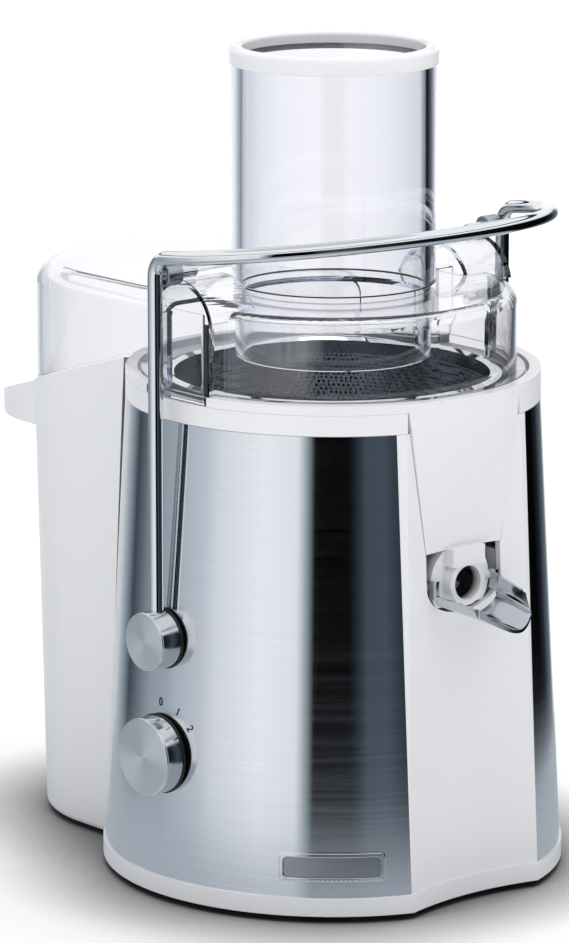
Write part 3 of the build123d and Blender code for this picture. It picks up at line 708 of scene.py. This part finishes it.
@dataclass
class ClampArm(Assembly):
    """Bail of chromed bar with chromed knobs, black washers, latch pins and sleeves."""

    half_width: float = 101.0
    bar: float = 3.25
    pivot_z: float = 119.0
    corner_z: float = 286.0
    bend: float = 9.0
    reach_x: float = 84.0
    tilt_deg: float = 7.0
    knob_z: float = 117.0
    knob_front: float = 108.4
    knob_r: float = 12.9
    knob_back: float = 97.9
    washer_back: float = 97.0
    washer_lip: float = 0.5
    face_thick: float = 0.8
    face_inset: float = 0.2
    latch_z: float = 277.1
    pin_r: float = 2.5
    pin_span: Point = (79.0, 99.0)
    sleeve_r: float = 5.0
    sleeve_span: Point = (88.8, 97.2)
    sleeve_grip: float = 0.1

    def build(self) -> None:
        """Bar along its bent path; knobs, washers, pins and sleeves turned about Y."""
        bar = mesh_from_grid("arm_bar", tube_grid(self.path() * MM, self.bar * MM, 28), False, 60)
        self.add(bar, Finishes.chrome, "chrome", "arm_wire")
        for side, node in ((Axis.USER, "pivot_knob_near"), (Axis.FAR, "pivot_knob_far")):
            self.knob(side, node)
            self.latch(side, node)

    def knob(self, side: Axis, node: str) -> None:
        """Barrel, spun face and washer of one pivot knob."""
        r, front, back, origin = self.knob_r, self.knob_front, self.knob_back, (0, 0, self.knob_z)
        rim = front - self.face_thick
        disc_r = r - self.face_inset
        self.turned(f"{node}_cap", [(0, back), (r, back), (r, rim), (0, rim)], [0, 0.3, 0.4, 0],
                    Finishes.knob_chrome, "chrome", (node,), origin, side, 96)
        self.turned(f"{node}_disc", [(0, rim), (disc_r, rim), (disc_r, front), (0, front)], [0, 0, 0.4, 0],
                    knob_face(origin, "Spun aluminium knob face"), "spun_aluminium", (), origin, side, 96)
        lip, low = r + self.washer_lip, self.washer_back
        self.turned(f"{node}_washer", [(0, low), (lip, low), (lip, back), (0, back)], [0, 0.2, 0.2, 0],
                    Finishes.black, "black_plastic", self.once(side, "pivot_washers"), origin, side, 96)

    def latch(self, side: Axis, node: str) -> None:
        """Pin and sleeve that ride over one hump of the lid."""
        origin, pin, sleeve = (0, 0, self.latch_z), self.pin_r, self.sleeve_r
        bore = pin - self.sleeve_grip
        low, high = self.pin_span
        self.turned(f"{node}_pin", [(0, low), (pin, low), (pin, high), (0, high)], [0, 0.6, 0, 0],
                    Finishes.chrome, "chrome", self.once(side, "latch_pins"), origin, side, 40)
        low, high = self.sleeve_span
        self.turned(f"{node}_sleeve", [(bore, low), (sleeve, low), (sleeve, high), (bore, high)],
                    [0, 0.6, 0.6, 0], Finishes.satin_chrome, "chrome", self.once(side, "latch_sleeves"),
                    origin, side, 48)

    @staticmethod
    def once(side: Axis, node: str) -> Tuple[str, ...]:
        """The node for the user's side only: one CAD node holds the pair."""
        return (node,) if side is Axis.USER else ()

    def path(self) -> Array:
        """Upright, quarter bend, half-ellipse tilted up by a few degrees, bend and upright."""
        tilt = math.radians(self.tilt_deg)
        base_z = self.corner_z - self.bend * math.cos(tilt)
        rise = np.linspace(self.pivot_z, base_z, 40)
        upright = np.stack([0 * rise, 0 * rise - self.half_width, rise], -1)
        a = np.linspace(math.pi, math.pi / 2 + tilt, 14)[1:]
        bend = np.stack([self.bend + self.bend * np.cos(a), 0 * a - self.half_width,
                         base_z + self.bend * np.sin(a)], -1)
        start_x = bend[-1, 0]
        reach = (self.reach_x - start_x) / math.cos(tilt)
        t = np.linspace(-math.pi / 2, math.pi / 2, 180)[1:-1]
        out = reach * np.cos(t)
        loop = np.stack([start_x + out * math.cos(tilt), self.half_width * np.sin(t),
                         bend[-1, 2] + out * math.sin(tilt)], -1)
        near = np.concatenate([upright, bend])
        far = (near * np.array((1, -1, 1)))[::-1]
        return np.concatenate([near, loop, far])


@dataclass
class Lid(Assembly):
    """Clear lid with its humps and duct cover, the feed tube and its white ring."""

    bore_r: float = 40.2
    tube_r: float = 45.0
    joint_z: float = 264.0
    joint_inset: float = 3.0
    joint_proud: float = 0.03
    joint_below: float = 0.45
    joint_above: float = 0.15
    tube_top: float = 363.0
    ring_low: float = 360.0
    ring_r: float = 46.2
    ring_gap: float = 0.05
    ring_top: float = 368.0

    def build(self) -> None:
        """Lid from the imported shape; tube, joint and ring turned."""
        self.copy("lid_shell", Finishes.clear, "clear_polycarbonate", 0.5, 24.0)
        bore, wall, low, top = self.bore_r, self.tube_r, self.joint_z, self.tube_top
        self.turned("feed_tube_wall", [(bore, low), (wall, low), (wall, top), (bore, top)], [0, 0.6, 0, 0],
                    Finishes.clear_tube, "clear_polycarbonate", ("feed_tube",))
        inner, outer = bore + self.joint_inset, wall + self.joint_proud
        under, over = low - self.joint_below, low + self.joint_above
        # painted dark line: near-black ring at the tube's foot, standing for the clear wall seen edge on
        self.turned("tube_joint", [(inner, under), (outer, under), (outer, over), (inner, over)], [0] * 4,
                    Finishes.joint_dark_line, "clear_polycarbonate")
        step = wall + self.ring_gap
        ring, ring_low, ring_top = self.ring_r, self.ring_low, self.ring_top
        self.turned("tube_ring_cap", [(bore, top), (step, top), (step, ring_low), (ring, ring_low),
                                      (ring, ring_top), (bore, ring_top)],
                    [0, 0, 0, 0.4, 2.2, 1.8], Finishes.white_abs, "white_abs", ("tube_ring",))


@dataclass
class PulpBin(Assembly):
    """White pulp bin with its lip handle."""

    def build(self) -> None:
        """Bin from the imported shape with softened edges."""
        self.copy("pulp_bin", Finishes.bin_abs, "white_abs", 0.7)


@dataclass
class SpeedDial(Assembly):
    """Chromed dial with a black skirt and a spun face."""

    z: float = DIAL_Z
    radius: float = 17.2
    front: float = 109.6
    back: float = 100.6
    skirt_back: float = 99.7
    skirt_lip: float = 0.5
    face_thick: float = 0.9
    face_inset: float = 0.2

    def build(self) -> None:
        """Barrel, skirt and face turned about Y."""
        origin = (0, 0, self.z)
        r, front, back, low = self.radius, self.front, self.back, self.skirt_back
        rim = front - self.face_thick
        self.turned("dial_barrel", [(0, back), (r, back), (r, rim), (0, rim)], [0, 0.4, 0.4, 0],
                    Finishes.knob_chrome, "chrome", ("dial_knob",), origin, Axis.USER, 128)
        lip = r + self.skirt_lip
        self.turned("dial_foot", [(0, low), (lip, low), (lip, back), (0, back)], [0, 0.2, 0.2, 0],
                    Finishes.black, "black_plastic", ("dial_skirt",), origin, Axis.USER, 128)
        disc_r = r - self.face_inset
        self.turned("dial_disc", [(0, rim), (disc_r, rim), (disc_r, front), (0, front)], [0, 0, 0.5, 0],
                    knob_face(origin, "Spun aluminium dial face"), "spun_aluminium", ("dial_face",),
                    origin, Axis.USER, 128)


@dataclass
class Numerals(Assembly):
    """Printed 0, 1 and 2 round the dial, as thin raised ink on the steel.

    Each stroke list holds the numeral's angle round the dial in degrees, and its pen points with
    the numeral's height as the unit.
    """

    centre_z: float = DIAL_Z
    ring: float = 22.9
    height: float = 3.4
    line: float = 0.32
    strokes: Tuple[Tuple[float, Tuple[Point, ...]], ...] = (
        (92.0, ((0.0, 0.5), (0.2, 0.38), (0.26, 0.0), (0.2, -0.38), (0.0, -0.5), (-0.2, -0.38), (-0.26, 0.0),
                (-0.2, 0.38), (-0.02, 0.5))),
        (63.0, ((-0.12, 0.32), (0.0, 0.5), (0.0, 0.0), (0.0, -0.5))),
        (39.0, ((-0.24, 0.3), (-0.1, 0.48), (0.1, 0.48), (0.24, 0.3), (0.2, 0.08), (-0.24, -0.48), (0.0, -0.5),
                (0.26, -0.5))))

    def build(self) -> None:
        """Each numeral is a fine round bead along its stroke, laid on the cone of the wrap."""
        for index, (turn, points) in enumerate(self.strokes):
            a = math.radians(turn)
            knots = np.array(points) * self.height
            share = np.linspace(0, len(knots) - 1, 8 * len(knots))
            x, up = (np.interp(share, np.arange(len(knots)), knots[:, i]) for i in (0, 1))
            lean = a - math.pi / 2
            across = self.ring * math.cos(a) + x * math.cos(lean) - up * math.sin(lean)
            z = self.centre_z + self.ring * math.sin(a) + x * math.sin(lean) + up * math.cos(lean)
            path = np.stack([across, -np.sqrt(wrap_radius(z) ** 2 - across ** 2), z], -1)
            bead = mesh_from_grid(f"numeral_{index}", tube_grid(path * MM, self.line * MM, 10), False, 80)
            self.add(bead, Finishes.ink, "black_plastic")


@dataclass
class Trough(Assembly):
    """Tilting chromed trough under the spout."""

    def build(self) -> None:
        """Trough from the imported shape."""
        self.copy("spout_trough", Finishes.trough, "chrome", 0.3)


@dataclass
class Inside(Assembly):
    """Parts that show only through the lid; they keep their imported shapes."""

    finishes: Dict[str, Tuple[Finish, str]] = field(default_factory=dict)

    def build(self) -> None:
        """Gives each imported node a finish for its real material."""
        for node, (finish, slot_name) in self.finishes.items():
            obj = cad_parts[node]
            obj.data.materials.clear()
            obj.data.materials.append(finish.material())
            LOG.info("%s: packed shape, %s", node, finish.name)


# ---- studio ----------------------------------------------------------------------------------


@dataclass
class Studio:
    """Pale floor, soft lamps and a drum of cards that only reflections see."""

    azimuth: float = 49.0
    distance: float = 2.200
    height: float = 0.671
    pitch: float = 0.2209
    yaw: float = 0.0098
    lens: float = 193.9
    drum_radius: float = 0.5
    drum_steps: int = 720
    levels: Tuple[float, ...] = (-0.6, -0.06, -0.05, -0.04, -0.03, -0.02, -0.01, 0.0,
                                 0.34, 0.36, 0.38, 0.48, 0.53, 0.9, 1.2)
    ceiling: Tuple[float, float] = (0.34, 0.38)
    strip: Tuple[float, float] = (0.48, 0.53)
    strip_share: float = 0.02
    card_light: float = 1.12
    ceiling_tone: str = "F6F7F9"
    fade: Tuple[float, float] = (-0.03, -0.09)
    floor_tone: str = "A3ABB3"
    floor_half: float = 6.0
    surround: float = 0.7
    cards: List[Tuple[float, str]] = field(default_factory=list)

    def build(self) -> None:
        """Camera, floor, drum and lamps."""
        self.camera()
        self.floor()
        self.drum()
        self.lamps()
        self.world()

    def basis(self) -> Tuple[Array, Array]:
        """Horizontal unit vectors: to the camera's right, and towards the camera."""
        a = math.radians(self.azimuth)
        return np.array((math.cos(a), math.sin(a), 0.0)), np.array((math.sin(a), -math.cos(a), 0.0))

    def camera(self) -> None:
        """Long lens, level with the horizon behind, turned a little off the motor axis."""
        right, near = self.basis()
        data = bpy.data.cameras.new("camera")
        data.lens = self.lens
        data.sensor_width = 36.0
        data.clip_start, data.clip_end = 0.1, 50.0
        cam = link("camera", data)
        cam.location = Vector(near * self.distance) + Vector((0, 0, self.height))
        level = -math.sin(self.yaw) * right - math.cos(self.yaw) * near
        aim = math.cos(self.pitch) * level - math.sin(self.pitch) * np.array((0, 0, 1.0))
        cam.rotation_euler = Vector(aim).to_track_quat("-Z", "Y").to_euler()
        bpy.context.scene.camera = cam

    def floor(self) -> None:
        """Flat white paper that runs far past the machine on every side."""
        half = self.floor_half
        mesh = bpy.data.meshes.new("floor")
        mesh.from_pydata([(-half, -half, 0), (half, -half, 0), (half, half, 0), (-half, half, 0)], [],
                         [(0, 1, 2, 3)])
        obj = link("floor", mesh)
        mesh.materials.append(self.paper())
        obj.visible_glossy = False

    def paper(self) -> bpy.types.Material:
        """White paper: a little light of its own far out, and painted contact shadow, dark in the narrow gaps
        under things.
        """
        made = bpy.data.materials.new("Sweep paper with painted contact shadow")
        made.use_nodes = True
        tree = made.node_tree
        shader = tree.nodes["Principled BSDF"]
        shader.inputs["Roughness"].default_value = 0.7
        # painted contact shadow: the paper's colour falls to near black where ambient occlusion finds things
        # close above it
        shade = add_node(tree, "AmbientOcclusion", {"samples": 8}, {"Distance": 0.06})
        dark = add_node(tree, "Math", {"operation": "POWER"}, {0: shade.outputs["AO"], 1: 2.2})
        tint = blend(tree, dark.outputs[0], colour("07080A"), colour("F6F6F6"))
        tree.links.new(tint, shader.inputs["Base Color"])
        spot = add_node(tree, "TexCoord")
        away = add_node(tree, "VectorMath", {"operation": "LENGTH"}, {0: spot.outputs["Object"]})
        light = add_node(tree, "MapRange", inputs={
            "Value": away.outputs["Value"], "From Min": 0.2, "From Max": 0.9, "To Min": 0.0, "To Max": 0.5})
        tree.links.new(light.outputs[0], shader.inputs["Emission Strength"])
        shader.inputs["Emission Color"].default_value = (1, 1, 1, 1)
        return made

    def drum(self) -> None:
        """Cylinder of cards round the machine; each card's tone is set by its angle from the lens.

        Below the floor it fades to the floor's tone, above the lid to the ceiling's, and one dark
        strip overhead gives the clear rims their outlines.
        """
        steps = self.drum_steps
        turn = np.linspace(-math.pi, math.pi, steps, endpoint=False)
        right, near = self.basis()
        ring_xy = np.cos(turn)[:, None] * near[:2] + np.sin(turn)[:, None] * right[:2]
        heights = np.array(self.levels)
        rows = len(heights)
        grid = np.zeros((steps, rows, 3))
        grid[:, :, :2] = ring_xy[:, None] * self.drum_radius
        grid[:, :, 2] = heights
        mesh = bpy.data.meshes.new("card_drum")
        index = np.arange(steps)[:, None] * rows + np.arange(rows - 1)
        nxt = np.roll(index, -1, axis=0)
        faces = np.stack([index, index + 1, nxt + 1, nxt], -1).reshape(-1, 4)
        mesh.from_pydata(grid.reshape(-1, 3), [], faces.tolist())
        obj = link("card_drum", mesh)
        angles = np.radians([card[0] for card in self.cards])
        tones = np.array([colour(card[1])[:3] for card in self.cards])
        mid = turn + math.pi / steps
        rgb = np.stack([np.interp(mid, angles, tones[:, i]) for i in range(3)], -1)
        middle = 0.5 * (heights[1:] + heights[:-1])
        low = np.clip((self.fade[0] - middle) / (self.fade[0] - self.fade[1]), 0, 1)[None, :, None]
        rgb = rgb[:, None] * (1 - low) + np.array(colour(self.floor_tone)[:3]) * low
        high = np.clip((middle - self.ceiling[0]) / (self.ceiling[1] - self.ceiling[0]), 0, 1)[None, :, None]
        rgb = rgb * (1 - high) + np.array(colour(self.ceiling_tone)[:3]) * high
        overhead = (middle > self.strip[0]) & (middle < self.strip[1])
        rgb = rgb * np.where(overhead, self.strip_share, 1.0)[None, :, None]
        layer = mesh.attributes.new("tone", "FLOAT_COLOR", "FACE")
        layer.data.foreach_set("color", np.concatenate([rgb, np.ones((*rgb.shape[:2], 1))], 2).ravel())
        made = bpy.data.materials.new("Studio cards")
        made.use_nodes = True
        tree = made.node_tree
        tree.nodes.clear()
        tone = add_node(tree, "Attribute", {"attribute_name": "tone"})
        light = add_node(tree, "Emission", inputs={"Color": tone.outputs["Color"], "Strength": self.card_light})
        out = add_node(tree, "OutputMaterial")
        tree.links.new(light.outputs[0], out.inputs["Surface"])
        mesh.materials.append(made)
        obj.visible_camera = False
        obj.visible_diffuse = False
        obj.visible_shadow = False
        obj.visible_volume_scatter = False

    def lamps(self) -> None:
        """Big soft boxes above and to both sides of the camera."""
        right, near = self.basis()
        for name, spot, size, power in (
                ("key_box", 0.9 * right + 1.2 * near + np.array((0, 0, 1.3)), 1.2, 4.0),
                ("fill_box", -1.3 * right + 0.9 * near + np.array((0, 0, 1.0)), 1.2, 1.5),
                ("top_box", 0.1 * right - 0.1 * near + np.array((0, 0, 2.0)), 1.8, 20.0)):
            data = bpy.data.lights.new(name, "AREA")
            data.shape = "SQUARE"
            data.size = size
            data.energy = power
            lamp = link(name, data)
            lamp.location = Vector(spot)
            aim = Vector((0, 0, 0.18)) - Vector(spot)
            lamp.rotation_euler = aim.to_track_quat("-Z", "Y").to_euler()
            lamp.visible_glossy = False

    def world(self) -> None:
        """Even white surround."""
        scene = bpy.context.scene
        if scene.world is None:
            scene.world = bpy.data.worlds.new("surround")
        scene.world.use_nodes = True
        back = scene.world.node_tree.nodes["Background"]
        back.inputs["Color"].default_value = (1, 1, 1, 1)
        back.inputs["Strength"].default_value = self.surround
        scene.view_settings.view_transform = "Standard"


# Degrees round from the lens, to its right, and the tone of the card there.
CARDS: List[Tuple[float, str]] = [
    (-180, "FFFFFF"), (-152, "F4F6F8"), (-142, "B4BFC5"), (-131, "838D96"), (-122, "37414A"),
    (-114, "5A646D"), (-100, "8E98A1"), (-88, "98A2AA"), (-82, "A7B1BA"), (-66, "BFC3CC"),
    (-57, "D5DADE"), (-34, "ECEDF1"), (-17, "E3E4E8"), (-13, "97A5A8"), (-9, "000000"),
    (8, "000000"), (12, "1F2831"), (16, "3F4953"), (25, "424C58"), (33, "253036"),
    (60, "101418"), (90, "0A0C0E"), (128, "030303"), (136, "1D1F2C"), (150, "636E74"),
    (158, "F4F6F8"), (180, "FFFFFF")]

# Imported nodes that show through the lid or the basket, with their finish and slot.
HIDDEN: Dict[str, Tuple[Finish, str]] = {
    "motor_housing": (Finishes.white_abs, "white_abs"),
    "filter_basket": (Finishes.sieve, "sieve_steel"),
    "basket_rim": (Finishes.chrome, "chrome"),
    "basket_base": (Finishes.white_abs, "white_abs"),
    "grating_disc": (Finishes.disc, "sieve_steel"),
    "disc_nut": (Finishes.disc, "sieve_steel"),
}


def main() -> None:
    """Builds every group, then the studio."""
    groups: List[Assembly] = [
        SteelBody("housing"), ClampArm("clamp_arm"), Lid("lid"), PulpBin("pulp_bin"),
        SpeedDial("speed_dial"), Numerals("housing"), Trough("trough"), Inside("housing", dict(HIDDEN))]
    for group in groups:
        group.build()
        LOG.info("built %s", type(group).__name__)
    Studio(cards=list(CARDS)).build()


if __name__ == "__main__":
    main()
